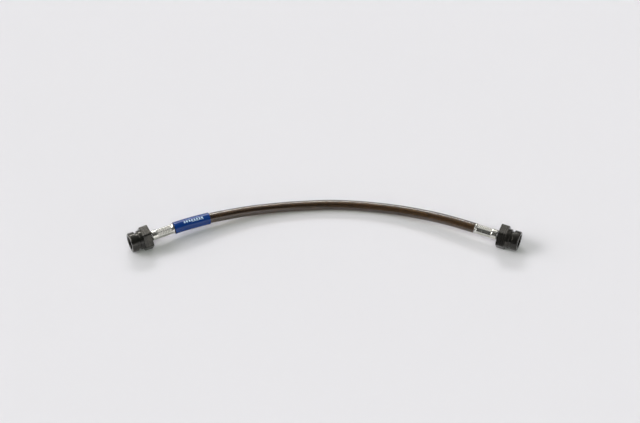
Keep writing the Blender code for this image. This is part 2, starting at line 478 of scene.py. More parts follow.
def make_piece(name, points, faces, lay, material, edges=None, outward=True):
    """A mesh piece with its lay (place along and turns round) as a UV map."""
    mesh = bpy.data.meshes.new(name)
    mesh.from_pydata(points.tolist(), [], faces.tolist())
    uv = mesh.uv_layers.new(name="Lay")
    uv.data.foreach_set("uv", np.ascontiguousarray(lay, dtype=np.float32).ravel())
    if edges is not None:
        worn = mesh.attributes.new("edge", "FLOAT", "POINT")
        worn.data.foreach_set("value", np.ascontiguousarray(edges, dtype=np.float32).ravel())
    if outward:
        bm = bmesh.new()
        bm.from_mesh(mesh)
        bmesh.ops.recalc_face_normals(bm, faces=bm.faces)
        bm.to_mesh(mesh)
        bm.free()
    mesh.shade_smooth()
    mesh.materials.append(material)
    piece = bpy.data.objects.new(name, mesh)
    bpy.context.collection.objects.link(piece)
    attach(piece, "root")
    return piece


def tube(name, line, s, outer, bore, material, sides=48, swell=None, bore_rows=None):
    """A closed tube along a line: its wall runs out along the outside and back inside."""
    back = s[::-1] if bore_rows is None else np.linspace(s[-1], s[0], bore_rows)
    turn = np.linspace(0.0, 2 * math.pi, sides, endpoint=False)
    outer = np.broadcast_to(outer, s.shape)
    radius = np.repeat(outer[:, None], sides, axis=1)
    if swell is not None:
        radius = radius + swell(s[:, None], turn[None, :])
    outside = line.around(s[:, None], radius, turn[None, :])
    inside = line.around(back[:, None], bore, turn[None, :])
    grid = np.concatenate([outside, inside])
    rows = len(grid)
    faces, row, col = grid_faces(rows, sides, True, True)
    station = np.concatenate([s, back, s[:1]]) * MM
    lay = np.stack([station[row], col / sides], axis=-1)
    return make_piece(name, grid.reshape(-1, 3), faces, lay, material)


def over_strands(along, turn, depth):
    """How a layer drawn tight over the braid sinks between its strands."""
    size = sizes()
    spin = 2 * math.pi * (along - HOSE_TUCK + BRAID_TUCK) / size.lead
    right_hand = np.cos(size.strands * (turn - spin))
    left_hand = np.cos(size.strands * (turn + spin))
    ridge = np.logaddexp(3.0 * right_hand, 3.0 * left_hand) - math.log(2.0)
    return depth * (ridge / 3.0 - 1.0) / 2.0


def softened(outline, radius, steps=3):
    """A closed outline with each corner rounded, and a flag on the points of each corner."""
    points = [np.array(p, dtype=float) for p in outline]
    out = []
    flags = []
    n = len(points)
    for i, p in enumerate(points):
        a, b = points[i - 1] - p, points[(i + 1) % n] - p
        la, lb = np.linalg.norm(a), np.linalg.norm(b)
        reach = min(radius, la * 0.4, lb * 0.4)
        start, stop = p + a / la * reach, p + b / lb * reach
        for k in range(steps + 1):
            u = k / steps
            out.append((1 - u) ** 2 * start + 2 * u * (1 - u) * p + u**2 * stop)
            flags.append(math.sin(math.pi * (0.25 + 0.5 * u)))
    return np.array(out), np.array(flags)


def refined(outline, flags, start, stop, step):
    """The outline with long runs between two stations cut into short steps."""
    rows, marks = [], []
    n = len(outline)
    for i in range(n):
        p, q = outline[i], outline[(i + 1) % n]
        rows.append(p)
        marks.append(flags[i])
        inside = min(p[0], q[0]) >= start - 1e-9 and max(p[0], q[0]) <= stop + 1e-9
        cuts = int(np.linalg.norm(q - p) / step) if inside else 0
        for k in range(1, cuts):
            rows.append(p + (q - p) * k / cuts)
            marks.append(0.0)
    return np.array(rows), np.array(marks)


def smooth_min(a, b, blend):
    """The lesser of two lengths, blended where they meet."""
    h = np.clip(0.5 + 0.5 * (b - a) / blend, 0.0, 1.0)
    return b + (a - b) * h - blend * h * (1 - h)


def corner_turns(corners, shares):
    """Turns round a bar, close together at its corners, from shares of half a flat."""
    half = math.pi / corners
    side = sorted({-s for s in shares} | set(shares))
    turn = np.array([(2 * i + 1) * half + s * half for i in range(corners) for s in side])
    return np.unique(np.round(turn % (2 * math.pi), 6))


def from_corner(turn, corners):
    """How far a turn is from the nearest corner of a bar with a flat on top."""
    pitch = 2 * math.pi / corners
    return np.abs((turn - math.pi / 2) % pitch - pitch / 2)


def flat_bar(turn, corners, flat, fillet):
    """Radius of a bar with flats, at a turn, with its corners rounded."""
    half = math.pi / corners
    off = from_corner(turn, corners)
    flats = flat / np.cos(half - off)
    centre = (flat - fillet) / math.cos(half)
    across = np.clip(fillet**2 - (centre * np.sin(off)) ** 2, 0.0, None)
    arc = centre * np.cos(off) + np.sqrt(across)
    touch = math.atan2(fillet * math.sin(half), centre + fillet * math.cos(half))
    return np.where(off < touch, arc, flats)


def turned_piece(name, rows, marks, turn, radius, side, material, edges, roll=0.0):
    """A turned piece on one end of the hose, from its rows of radii."""
    x = np.repeat(rows[:, 0][:, None], len(turn), axis=1)
    grid = np.stack([x, radius * np.cos(turn), radius * np.sin(turn)], axis=-1)
    faces, row, col = grid_faces(len(rows), len(turn), True, True)
    station = np.append(rows[:, 0], rows[0, 0]) * MM
    round_share = np.append(turn, turn[0] + 2 * math.pi) / (2 * math.pi)
    lay = np.stack([station[row], round_share[col]], axis=-1)
    edge = np.maximum(edges, marks[:, None])
    piece = make_piece(name, grid.reshape(-1, 3), faces, lay, material, edge)
    piece.location, heading = end_place(side)
    piece.rotation_euler = (roll, 0.0, heading)
    return piece


def hose_line():
    """The hose's line with its straight runs inside the ferrules."""
    left = (math.cos(LEFT_HEADING), math.sin(LEFT_HEADING), 0.0)
    right = (-math.cos(RIGHT_HEADING), -math.sin(RIGHT_HEADING), 0.0)
    return Line(ROUTE, left, right, HOSE_TUCK, HOSE_TUCK)


def end_place(side):
    """Front face and heading of a fitting."""
    mouth, heading = (ROUTE[0], LEFT_HEADING) if side == "left" else (ROUTE[-1], RIGHT_HEADING)
    along = Vector((math.cos(heading), math.sin(heading), 0.0))
    return Vector(mouth) - along * JACKET_START, heading


# Finishes

# Sockets of a Mix node in colour mode, where several sockets share a name.
MIX_SHARE, MIX_ONE, MIX_OTHER, MIX_RESULT = 0, 6, 7, 2
# Depth of fine marks in a surface, in metres.
MARK_DEPTH = 0.00003
# Below about 0.28 the wires' sparkle turns into streaks when a picture is denoised.
WIRE_ROUGHNESS = 0.29


class Nodes:
    """Short ways to place and join nodes in a tree."""

    def __init__(self, tree):
        self.tree = tree

    def feed(self, node, inputs):
        """Join outputs to a node's sockets, or set the sockets' own values."""
        for key, value in inputs.items():
            if isinstance(value, bpy.types.NodeSocket):
                self.tree.links.new(value, node.inputs[key])
            else:
                node.inputs[key].default_value = value

    def add(self, kind, inputs=None, **settings):
        """A new node with its settings and inputs."""
        node = self.tree.nodes.new(kind)
        for key, value in settings.items():
            setattr(node, key, value)
        self.feed(node, inputs or {})
        return node

    def math(self, operation, *values):
        """The result of a calculation."""
        return self.add("ShaderNodeMath", dict(enumerate(values)), operation=operation).outputs[0]

    def total(self, base, *parts):
        """A base value plus a share of each of some other values."""
        for value, share in parts:
            base = self.math("MULTIPLY_ADD", value, share, base)
        return base

    def ramp(self, value, low, high, out_low=0.0, out_high=1.0):
        """A value carried smoothly from one range to another."""
        labels = ("Value", "From Min", "From Max", "To Min", "To Max")
        inputs = dict(zip(labels, (value, low, high, out_low, out_high)))
        node = self.add("ShaderNodeMapRange", inputs, interpolation_type="SMOOTHSTEP")
        return node.outputs["Result"]

    def sweep(self, angle, start, end, before=1.0, after=0.0):
        """Brightness that changes smoothly between two angles in degrees."""
        return self.ramp(angle, math.radians(start), math.radians(end), before, after)

    def band(self, angle, edges, dim, bright):
        """Brightness that rises between the first two edges and fades between the last two."""
        start, full, fading, end = edges
        rise = self.sweep(angle, start, full, dim, bright)
        return self.math("MULTIPLY", rise, self.sweep(angle, fading, end))

    def mix(self, share, one, other):
        """A colour between two, each a plain colour or an output."""
        one, other = (
            colour if isinstance(colour, bpy.types.NodeSocket) else (*colour, 1.0)
            for colour in (one, other)
        )
        sockets = {MIX_SHARE: share, MIX_ONE: one, MIX_OTHER: other}
        return self.add("ShaderNodeMix", sockets, data_type="RGBA").outputs[MIX_RESULT]

    def split(self, vector):
        """The three parts of a vector."""
        return self.add("ShaderNodeSeparateXYZ", {0: vector}).outputs

    def noise(self, inputs, dimensions="3D"):
        """A noise that lies round 0.5."""
        return self.add("ShaderNodeTexNoise", inputs, noise_dimensions=dimensions).outputs[0]

    def bump(self, height, strength, depth=MARK_DEPTH):
        """The normal of a surface with marks of a height."""
        inputs = {"Height": height, "Strength": strength, "Distance": depth}
        return self.add("ShaderNodeBump", inputs).outputs[0]

    def place(self):
        """The place on the piece, in metres."""
        return self.add("ShaderNodeTexCoord").outputs["Object"]

    def lay(self):
        """The millimetres along the piece and the turns round it."""
        return self.add("ShaderNodeUVMap", uv_map="Lay").outputs[0]

    def use(self, group_of_nodes, inputs):
        """The outputs of a node group placed in this tree."""
        return self.add("ShaderNodeGroup", inputs, node_tree=group_of_nodes).outputs


def made_once(store, name):
    """Build a material or node group at the first call and find it by its name later."""

    def wrap(build):
        def find():
            made = getattr(bpy.data, store).get(name)
            return build(name) if made is None else made

        return find

    return wrap


def group(name, inputs, outputs):
    """A new shader node group: its node helper, what it is given and its output node."""
    tree = bpy.data.node_groups.new(name, "ShaderNodeTree")
    for label, kind, default in inputs:
        socket = tree.interface.new_socket(name=label, in_out="INPUT", socket_type=kind)
        if default is not None:
            socket.default_value = default
    for label in outputs:
        tree.interface.new_socket(name=label, in_out="OUTPUT", socket_type="NodeSocketFloat")
    n = Nodes(tree)
    return n, n.add("NodeGroupInput").outputs, n.add("NodeGroupOutput")


@made_once("node_groups", "turning marks")
def turning_marks(name):
    """Fine rings that a lathe tool leaves, from the place along the axis."""
    n, given, out = group(
        name,
        [("Lay", "NodeSocketVector", None), ("Rings per mm", "NodeSocketFloat", 6.0)],
        ["Height", "Shift"],
    )
    station = n.split(given["Lay"])[0]
    along = n.math("MULTIPLY", station, given["Rings per mm"])
    rings = n.noise({"W": along, "Scale": 1.0, "Detail": 3.0, "Roughness": 0.6}, "1D")
    broad = n.noise({"W": station, "Scale": 1.3, "Detail": 1.0}, "1D")
    # Both noises lie round 0.5, so their product lies round 0.25.
    shift = n.math("SUBTRACT", n.math("MULTIPLY", rings, broad), 0.25)
    n.feed(out, {"Height": rings, "Shift": shift})
    return n.tree


@made_once("node_groups", "handling")
def handling(name):
    """Smudges, grain and small scratches from handling."""
    n, given, out = group(
        name,
        [("Place", "NodeSocketVector", None), ("Size", "NodeSocketFloat", 1.0)],
        ["Smudge", "Grain", "Scratch"],
    )
    place = given["Place"]
    smudges_per_metre, grains_per_metre, scratches_per_metre = (
        n.math("MULTIPLY", given["Size"], count) for count in (160.0, 4200.0, 420.0)
    )
    cloud = n.noise({"Vector": place, "Scale": smudges_per_metre, "Detail": 4.0})
    grain = n.noise({"Vector": place, "Scale": grains_per_metre, "Detail": 2.0})
    drawn_out = n.add(
        "ShaderNodeMapping",
        {"Vector": place, "Scale": (0.5, 3.0, 3.0), "Rotation": (0.3, 0.5, 0.4)},
    ).outputs[0]
    lines = n.add(
        "ShaderNodeTexVoronoi",
        {"Vector": drawn_out, "Scale": scratches_per_metre},
        feature="DISTANCE_TO_EDGE",
    )
    hair = n.ramp(lines.outputs["Distance"], 0.0, 0.02, 1.0, 0.0)
    patchy = n.math("MULTIPLY", hair, n.ramp(cloud, 0.5, 0.7))
    n.feed(out, {"Smudge": n.ramp(cloud, 0.38, 0.68), "Grain": grain, "Scratch": patchy})
    return n.tree


@made_once("node_groups", "edge wear")
def edge_wear(name):
    """Where a finish has rubbed through at its edges."""
    n, given, out = group(
        name,
        [
            ("Edge", "NodeSocketFloat", 0.0),
            ("Place", "NodeSocketVector", None),
            ("Amount", "NodeSocketFloat", 0.3),
        ],
        ["Worn"],
    )
    unworn, fade = 1.75, 0.12
    spots = n.noise(
        {"Vector": given["Place"], "Scale": 900.0, "Detail": 5.0, "Roughness": 0.65}
    )
    level = n.math("ADD", given["Edge"], spots)
    threshold = n.math("SUBTRACT", unworn, given["Amount"])
    n.feed(out, {"Worn": n.ramp(level, threshold, n.math("ADD", threshold, fade))})
    return n.tree


def finish(name):
    """A new material, its node helper and its Principled shader."""
    mat = bpy.data.materials.new(name)
    mat.use_nodes = True
    return mat, Nodes(mat.node_tree), mat.node_tree.nodes["Principled BSDF"]


def tinted(colour, *factors):
    """A colour with its red, green and blue multiplied by one factor each, or all by one."""
    return tuple(c * f for c, f in zip(colour, factors * (len(colour) // len(factors))))


def handled(n, size):
    """Smudge, grain and scratch on a piece; a larger size makes them finer."""
    return n.use(handling(), {"Place": n.place(), "Size": size})


def machined(n, rings, size, wear):
    """Turning marks, handling and edge wear of a machined piece."""
    edge = n.add("ShaderNodeAttribute", attribute_name="edge").outputs["Fac"]
    marks = n.use(turning_marks(), {"Lay": n.lay(), "Rings per mm": rings})
    worn = n.use(edge_wear(), {"Edge": edge, "Place": n.place(), "Amount": wear})
    return marks, handled(n, size), worn["Worn"]


@made_once("materials", "black plating")
def black_plating(name):
    """Black plated steel, worn to grey on its edges."""
    mat, n, bsdf = finish(name)
    marks, hand, worn = machined(n, rings=7.0, size=1.0, wear=0.22)
    black = tuple(colours().black)
    bare_steel = (0.22, 0.21, 0.19)
    base = n.mix(hand["Smudge"], black, tinted(black, 0.72, 0.75, 0.80))
    hex_middle = (HEX_START + HEX_END) / 2 * MM
    hex_reach = (HEX_END - HEX_START) / 2 * MM - 0.2
    flats = n.math("COMPARE", n.split(n.lay())[0], hex_middle, hex_reach)
    rough = n.total(0.15, (flats, 0.08), (hand["Smudge"], 0.08), (marks["Shift"], 0.25))
    height = n.total(marks["Height"], (hand["Grain"], 0.5), (hand["Scratch"], -0.4))
    n.feed(bsdf, {
        "Base Color": n.mix(worn, base, bare_steel),
        "Roughness": rough,
        "Metallic": 0.90,
        "Normal": n.bump(height, 0.35),
    })
    return mat


@made_once("materials", "satin steel")
def satin_steel(name):
    """Satin steel of the ferrules, with crimp rub and turning rings."""
    mat, n, bsdf = finish(name)
    marks, hand, worn = machined(n, rings=9.0, size=1.4, wear=0.45)
    steel = tuple(colours().steel)
    rubbed_bright = (0.80, 0.79, 0.76)
    base = n.mix(hand["Smudge"], steel, tinted(steel, 0.80, 0.80, 0.78))
    n.feed(bsdf, {
        "Base Color": n.mix(worn, base, rubbed_bright),
        "Roughness": n.total(0.20, (hand["Smudge"], 0.08), (marks["Shift"], 0.25)),
        "Metallic": 1.0,
        "Normal": n.bump(n.total(marks["Height"], (hand["Scratch"], -0.5)), 0.30),
    })
    return mat


@made_once("materials", "bright wire")
def bright_wire(name):
    """Bright drawn stainless wire, with painted shade in the gaps between the wires."""
    mat, n, bsdf = finish(name)
    hand = handled(n, 2.0)
    across = n.split(n.lay())[1]
    wave = n.math("COSINE", n.math("MULTIPLY", across, 2 * math.pi * sizes().wires))
    crest = n.total(0.5, (wave, -0.5))
    wire = tuple(colours().wire)
    # Painted shade: away from each wire's crest the colour falls to a fifth of the wire's,
    # standing in for the shade in the gaps between the wires.
    n.feed(bsdf, {
        "Base Color": n.mix(n.ramp(crest, 0.05, 0.55), tinted(wire, 0.22), wire),
        "Roughness": n.total(WIRE_ROUGHNESS, (hand["Smudge"], 0.06)),
        "Metallic": 1.0,
    })
    return mat


@made_once("materials", "smoked clear")
def smoked_clear(name):
    """Clear smoked plastic that lets light through to the braid."""
    mat, n, bsdf = finish(name)
    hand = handled(n, 0.6)
    smoke = tuple(colours().smoke)
    paler = tuple(min(1.0, c) for c in tinted(smoke, 1.25))
    height = n.math("SUBTRACT", hand["Smudge"], hand["Scratch"])
    n.feed(bsdf, {
        "Base Color": n.mix(hand["Smudge"], smoke, paler),
        "Roughness": n.total(0.06, (hand["Smudge"], 0.05)),
        "IOR": 1.58,
        "Coat Weight": 0.38,
        "Coat Roughness": 0.03,
        "Transmission Weight": 1.0,
        "Normal": n.bump(height, 0.10),
    })
    # The jacket casts a brown shadow, not the black one of solid glass.
    clear = n.add("ShaderNodeBsdfTransparent", {"Color": (0.50, 0.42, 0.34, 1.0)}).outputs[0]
    in_shadow = n.add("ShaderNodeLightPath").outputs["Is Shadow Ray"]
    both = n.add("ShaderNodeMixShader", {0: in_shadow, 1: bsdf.outputs[0], 2: clear})
    n.feed(mat.node_tree.nodes["Material Output"], {"Surface": both.outputs[0]})
    return mat


@made_once("materials", "shrunk blue")
def shrunk_blue(name):
    """Blue shrunk sleeve, half gloss, with two rows of plain pale ticks."""
    mat, n, bsdf = finish(name)
    hand = handled(n, 0.8)
    blue = tuple(colours().sleeve)
    base = n.mix(hand["Smudge"], blue, tuple(c * 1.15 + 0.001 for c in blue))
    pale_ink = (0.60, 0.76, 0.92)
    station, turns, _ = n.split(n.lay())
    first_tick, tick_step = HOSE_TUCK * MM + 8.0, 2.0
    count = n.math("DIVIDE", n.math("SUBTRACT", station, first_tick), tick_step)
    # Each row: ticks in a step, how much of a tick's room is ink, middle and half length of the
    # row in steps, middle and half width of the row in turns round the sleeve.
    rows = []
    for per_step, inked, middle, reach, turn, half_width in (
        (1.0, 0.58, 4.0, 4.0, 0.206, 0.026),
        (2.0, 0.50, 5.5, 2.5, 0.165, 0.008),
    ):
        ticks = n.math("FRACT", n.math("MULTIPLY", count, per_step))
        ticks = n.math("LESS_THAN", ticks, inked)
        ticks = n.math("MULTIPLY", ticks, n.math("COMPARE", count, middle, reach))
        rows.append(n.math("MULTIPLY", ticks, n.math("COMPARE", turns, turn, half_width)))
    ink = n.math("MULTIPLY", n.math("MAXIMUM", *rows), n.ramp(hand["Grain"], 0.25, 0.45))
    n.feed(bsdf, {
        "Base Color": n.mix(ink, base, pale_ink),
        "Roughness": n.total(0.12, (hand["Smudge"], 0.06)),
        "Specular IOR Level": 0.40,
        "Normal": n.bump(n.total(hand["Smudge"], (ink, 0.5)), 0.25, depth=0.00004),
    })
    return mat


@made_once("materials", "milky liner")
def milky_liner(name):
    """Milky fluoroplastic of the inner tube."""
    mat, n, bsdf = finish(name)
    hand = handled(n, 1.0)
    milky, dull = (0.78, 0.78, 0.74), (0.70, 0.70, 0.67)
    n.feed(bsdf, {
        "Base Color": n.mix(hand["Smudge"], milky, dull),
        "Roughness": n.total(0.38, (hand["Grain"], 0.1)),
    })
    return mat


@made_once("materials", "table top")
def table_top(name):
    """Plain pale table with a trace of paper grain."""
    mat, n, bsdf = finish(name)
    cloud = n.noise({"Vector": n.place(), "Scale": 6.0, "Detail": 2.0})
    table = tuple(colours().table)
    n.feed(bsdf, {
        "Base Color": n.mix(cloud, table, tinted(table, 0.985)),
        "Roughness": 0.9,
        "Specular IOR Level": 0.0,
    })
    return mat


# Stage

# Middles of the soft lights, in degrees round the table from +X.
BACK_AZIMUTH = 100
RIGHT_AZIMUTH = -45
# Edges of the lights in degrees. Heights: start, full, start of the fade, end. Sides, from the
# light's middle: start of the fade, end.
STRIP_HEIGHTS, STRIP_SIDES = (32, 35, 40, 44), (10, 30)
GLOW_HEIGHTS, GLOW_SIDES = (44, 50, 60, 84), (15, 80)
BOX_HEIGHTS, BOX_SIDES = (5, 36, 44, 52), (16, 28)
LOW_HEIGHTS, LOW_SIDES = (12, 34), (20, 50)
# Share of a softbox's brightness that is left under its lower edge.
STRIP_SPILL = 0.04
BOX_SPILL = 0.25
LOW_LIGHT = 1.3
# Where the room changes from the camera's side to the far side, from -1 to 1 along Y.
ROOM_FRONT, ROOM_BACK = -0.5, 0.2
FILL_COLOUR = (0.89, 1.0, 0.82)
FILL_TILT = math.radians(32)
FILL_SPREAD = math.radians(40)
TABLE_REACH = 4.0
# The table lies a hair below the pieces, so that no face of theirs coincides with it.
TABLE_DROP = 0.00003


def add_camera(context, setup):
    """The camera, above the front edge of the table."""
    data = bpy.data.cameras.new("camera")
    data.sensor_width = 36.0
    data.lens = setup.lens
    data.clip_start = 0.01
    camera = bpy.data.objects.new("camera", data)
    aim = Vector((setup.aim_x, setup.aim_y, 0.0))
    back = Vector((0.0, -math.cos(setup.elevation), math.sin(setup.elevation)))
    camera.location = aim + back * setup.distance
    camera.rotation_euler = (math.pi / 2 - setup.elevation, 0.0, 0.0)
    context.collection.objects.link(camera)
    context.scene.camera = camera
    context.scene.view_settings.view_transform = "Standard"


def add_table(context):
    """The plain table under the hose."""
    mesh = bpy.data.meshes.new("table")
    w = TABLE_REACH
    mesh.from_pydata([(-w, -w, 0), (w, -w, 0), (w, w, 0), (-w, w, 0)], [], [(0, 1, 2, 3)])
    mesh.materials.append(table_top())
    table = bpy.data.objects.new("table", mesh)
    table.location = (0.0, 0.0, -TABLE_DROP)
    context.collection.objects.link(table)


def add_fill(context, setup):
    """The soft fill from above the camera, which no gloss shows."""
    fill = bpy.data.lights.new("fill", "SUN")
    fill.energy = setup.fill
    fill.color = FILL_COLOUR
    fill.angle = FILL_SPREAD
    lamp = bpy.data.objects.new("fill", fill)
    lamp.rotation_euler = (FILL_TILT, 0.0, 0.0)
    lamp.visible_glossy = False
    lamp.visible_transmission = False
    context.collection.objects.link(lamp)


def light_room(context, setup):
    """The room with its soft lights; the camera itself sees it in the table's colour."""
    world = bpy.data.worlds.new("studio")
    context.scene.world = world
    world.use_nodes = True
    n = Nodes(world.node_tree)
    x, y, z = n.split(n.add("ShaderNodeTexCoord").outputs["Generated"])
    height = n.math("ARCSINE", z)
    azimuth = n.math("ARCTAN2", y, x)
    from_back, from_right = (
        n.math("ABSOLUTE", n.math("SUBTRACT", azimuth, math.radians(middle)))
        for middle in (BACK_AZIMUTH, RIGHT_AZIMUTH)
    )
    from_left = n.math("ABSOLUTE", n.math("SUBTRACT", n.math("ABSOLUTE", azimuth), math.pi))
    strip = n.band(height, STRIP_HEIGHTS, STRIP_SPILL * setup.strip, setup.strip)
    glow = n.band(height, GLOW_HEIGHTS, 0.0, setup.glow)
    box = n.band(height, BOX_HEIGHTS, BOX_SPILL * setup.box, setup.box)
    low = n.sweep(height, *LOW_HEIGHTS, LOW_LIGHT)
    light = n.ramp(y, ROOM_FRONT, ROOM_BACK, setup.front, setup.sky)
    for lamp, turned, sides in (
        (strip, from_back, STRIP_SIDES),
        (glow, from_back, GLOW_SIDES),
        (box, from_left, BOX_SIDES),
        (low, from_right, LOW_SIDES),
    ):
        light = n.math("MULTIPLY_ADD", lamp, n.sweep(turned, *sides), light)
    white = (1.0, 1.0, 1.0, 1.0)
    studio = n.add("ShaderNodeBackground", {"Color": white, "Strength": light}).outputs[0]
    plain = world.node_tree.nodes["Background"]
    n.feed(plain, {"Color": (*colours().table, 1.0), "Strength": 1.0})
    seen = n.add("ShaderNodeLightPath").outputs["Is Camera Ray"]
    both = n.add("ShaderNodeMixShader", {0: seen, 1: studio, 2: plain.outputs[0]})
    n.feed(world.node_tree.nodes["World Output"], {"Surface": both.outputs[0]})


# Pieces


class HOSE_OT_stage(Operator):
    """Camera, table and soft light"""

    bl_idname = "hose.stage"
    bl_label = "Stage"

    def execute(self, context):
        setup = context.scene.hose_stage
        add_camera(context, setup)
        add_table(context)
        add_fill(context, setup)
        light_room(context, setup)
        return {"FINISHED"}


class HOSE_OT_jacket(Operator):
    """Clear smoked jacket, laid along the hose's line"""

    bl_idname = "hose.jacket"
    bl_label = "Jacket"

    def execute(self, context):
        size = sizes()
        line = hose_line()
        s = np.linspace(line.start, line.start + line.free, JACKET_ROWS)

        def relief(along, turn):
            return over_strands(along, turn, size.relief)

        jacket = tube(
            "jacket_clear", line, s, size.jacket_r, size.jacket_bore_r, smoked_clear(),
            JACKET_SIDES, relief, JACKET_BORE_ROWS,
        )
        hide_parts("jacket")
        path = [tuple(p) for p in line.read(line.points, s[::CORD_EVERY])]
        return {"FINISHED"}


class HOSE_OT_braid(Operator):
    """Woven wire under the jacket, strands both ways, two over and two under"""

    bl_idname = "hose.braid"
    bl_label = "Braid"

    def execute(self, context):
        size = sizes()
        line = hose_line()
        first = line.start - BRAID_TUCK
        last = line.start + line.free + BRAID_TUCK
        count = size.strands
        s = np.arange(first, last, size.lead / (2 * count) / CROSSING_ROWS)
        station = s * MM
        cols = WIRE_COLUMNS * size.wires + 1
        across = np.linspace(-0.5, 0.5, cols)
        spread = STRAND_FILL * 2 * math.pi / count
        bulge = WIRE_BULGE * (1 - np.cos(2 * math.pi * size.wires * (across + 0.5))) / 2
        for name, hand in (("braid_right_hand", 1.0), ("braid_left_hand", -1.0)):
            grids, faces, lays = [], [], []
            for i in range(count):
                centre = 2 * math.pi * (i / count + hand * (s - first) / size.lead)
                row = np.sin(count / 2 * (centre + math.pi / (2 * count)))
                swing = np.tanh(WEAVE_SNAP * row) / np.tanh(WEAVE_SNAP)
                lift = hand * size.braid_rise * swing
                turn = centre[:, None] + spread * across[None, :]
                radius = size.braid_r + lift[:, None] + bulge[None, :]
                grid = line.around(s[:, None], radius, turn).reshape(-1, 3)
                f, row_at, col_at = grid_faces(len(s), cols, False, False, i * len(grid))
                grids.append(grid)
                faces.append(f)
                lays.append(np.stack([station[row_at], col_at / (cols - 1)], axis=-1))
            # Each strand is a sheet, so its faces are turned outwards by hand.
            faces, lay = np.concatenate(faces)[:, ::-1], np.concatenate(lays)[:, ::-1]
            points = np.concatenate(grids)
            piece = make_piece(name, points, faces, lay, bright_wire(), outward=False)
            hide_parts("braid")
        return {"FINISHED"}


class HOSE_OT_liner(Operator):
    """Inner tube that carries the fluid"""

    bl_idname = "hose.liner"
    bl_label = "Liner"

    def execute(self, context):
        size = sizes()
        line = hose_line()
        s = np.linspace(0.0, line.length, LINER_ROWS)
        liner = tube(
            "liner_tube", line, s, size.liner_r, size.liner_bore_r, milky_liner(), LINER_SIDES
        )
        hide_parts("liner")
        return {"FINISHED"}


class HOSE_OT_sleeve(Operator):
    """Blue shrunk sleeve beside the left ferrule"""

    bl_idname = "hose.sleeve"
    bl_label = "Sleeve"

    def execute(self, context):
        size = sizes()
        line = hose_line()
        first = line.start + SLEEVE_GAP
        last = line.start + size.sleeve_length
        middle = np.linspace(first + SLEEVE_LIP, last - SLEEVE_LIP, SLEEVE_ROWS)
        lip = np.array(SLEEVE_LIP_ROWS)
        s = np.concatenate([first + lip, middle, last - lip[::-1]])
        from_end = np.minimum(s - first, last - s)
        thinned = SLEEVE_THINNING * np.exp(-from_end / SLEEVE_THINNING_RUN)

        def swell(along, turn):
            fine = np.sin(along * WRINKLE_FINE + 2 * np.sin(turn * 2))
            wrinkle = SLEEVE_WRINKLE * (fine * np.sin(turn * 3 + along * WRINKLE_BROAD))
            loose = wrinkle + SLEEVE_WAVE * np.sin(along * WAVE_LONG + turn)
            return loose + over_strands(along, turn, SLEEVE_RELIEF_SHARE * size.relief)

        sleeve = tube(
            "sleeve_shrunk", line, s, size.sleeve_r - thinned, size.sleeve_bore_r,
            shrunk_blue(), SLEEVE_SIDES, swell,
        )
        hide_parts("id_sleeve")
        return {"FINISHED"}


class HOSE_OT_ferrules(Operator):
    """Ferrules crimped on the hose's ends by eight jaws"""

    bl_idname = "hose.ferrules"
    bl_label = "Ferrules"

    def execute(self, context):
        size = ends()
        outline = [
            (FERRULE_START, FERRULE_EYE_R),
            (FERRULE_START, size.ferrule_r - FERRULE_CHAMFER),
            (FERRULE_START + FERRULE_CHAMFER, size.ferrule_r),
            (CRIMP_START, size.ferrule_r),
            (CRIMP_START + EDGE_BREAK, size.crimp_land_r),
            (CRIMP_END - EDGE_BREAK, size.crimp_land_r),
            (CRIMP_END, FERRULE_MOUTH_R),
            (FERRULE_END - EDGE_BREAK, FERRULE_MOUTH_R),
            (FERRULE_END, FERRULE_MOUTH_R - EDGE_BREAK),
            (FERRULE_END, FERRULE_BORE_R),
            (FERRULE_START + FERRULE_WALL, FERRULE_BORE_R),
            (FERRULE_START + FERRULE_WALL, FERRULE_EYE_R),
        ]
        rows, marks = softened(outline, radius=0.00012)
        ribbed = CRIMP_START + CRIMP_INSET, CRIMP_END - CRIMP_INSET
        rows, marks = refined(rows, marks, *ribbed, step=0.00012)
        turn = corner_turns(JAWS, (0.0, 0.03, 0.07, 0.12, 0.2, 0.32, 0.5, 0.75, 1.0))
        x, r = rows[:, 0][:, None], rows[:, 1][:, None]
        outside = r > FERRULE_BORE_R + JUST_OFF
        into = np.clip((x - CRIMP_START - EDGE_BREAK) / CRIMP_FADE, 0, 1)
        out_of = np.clip((CRIMP_END - EDGE_BREAK - x) / CRIMP_FADE, 0, 1)
        pressed = np.minimum(into, out_of)
        pressed = pressed * pressed * (3 - 2 * pressed)
        ribs = RIB_RISE * np.cos((x - CRIMP_START) * 2 * math.pi / RIB_PITCH)
        jaws = flat_bar(turn, JAWS, size.crimp_flat_r, JAW_FILLET)[None, :] + ribs
        crimped = smooth_min(np.broadcast_to(r, jaws.shape), jaws, blend=0.00005)
        radius = np.where(outside, r + (crimped - r) * pressed, r)
        off = from_corner(turn, JAWS)[None, :] * size.crimp_flat_r
        edges = np.exp(-((off / JAW_WEAR) ** 2)) * pressed * outside
        for side, roll in (("left", FERRULE_ROLL), ("right", -FERRULE_ROLL)):
            piece = turned_piece(
                "ferrule_crimped_" + side, rows, marks, turn, radius, side,
                satin_steel(), edges, roll,
            )
            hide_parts("ferrule_" + side)
        return {"FINISHED"}


